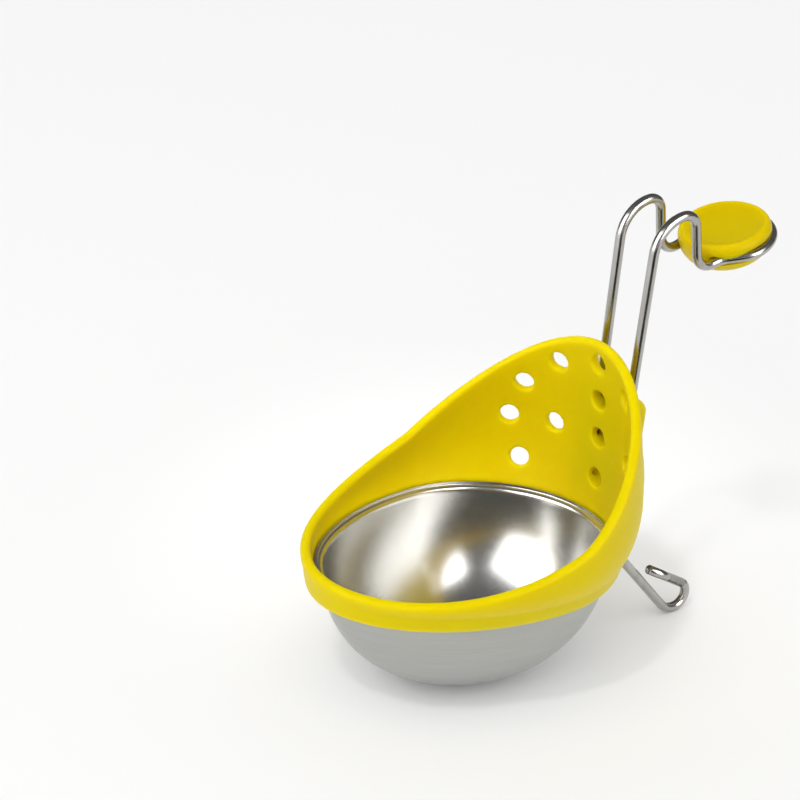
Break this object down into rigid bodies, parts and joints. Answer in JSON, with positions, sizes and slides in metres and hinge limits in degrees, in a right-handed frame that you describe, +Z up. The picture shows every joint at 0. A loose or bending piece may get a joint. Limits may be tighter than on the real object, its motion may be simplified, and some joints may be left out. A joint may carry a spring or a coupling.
{
  "type": "egg poaching cup",
  "caption": "Steel egg cup in a perforated soft-plastic collar, with a bent wire handle that hooks over a pan rim and ends in a thumb pad.",
  "frame": {"origin": "centre of the object's box at table level, with the cup standing on its flat base and the tail's curl", "axes": "+Z up, -Y towards the low lip, +Y towards the handle and tail, +X towards the side the tail is on"},
  "size_m": [0.0746, 0.1304, 0.1174],
  "materials": {
    "cup_steel": "satin inside, brushed outside",
    "collar_plastic": "soft satin, slightly translucent",
    "wire_steel": "polished stainless wire",
    "pad_plastic": "soft satin"
  },
  "bodies": {
    "root": {"cup": "cup_steel", "collar": "collar_plastic", "handle_wire": "wire_steel", "thumb_pad": "pad_plastic"}
  },
  "joints": []
}
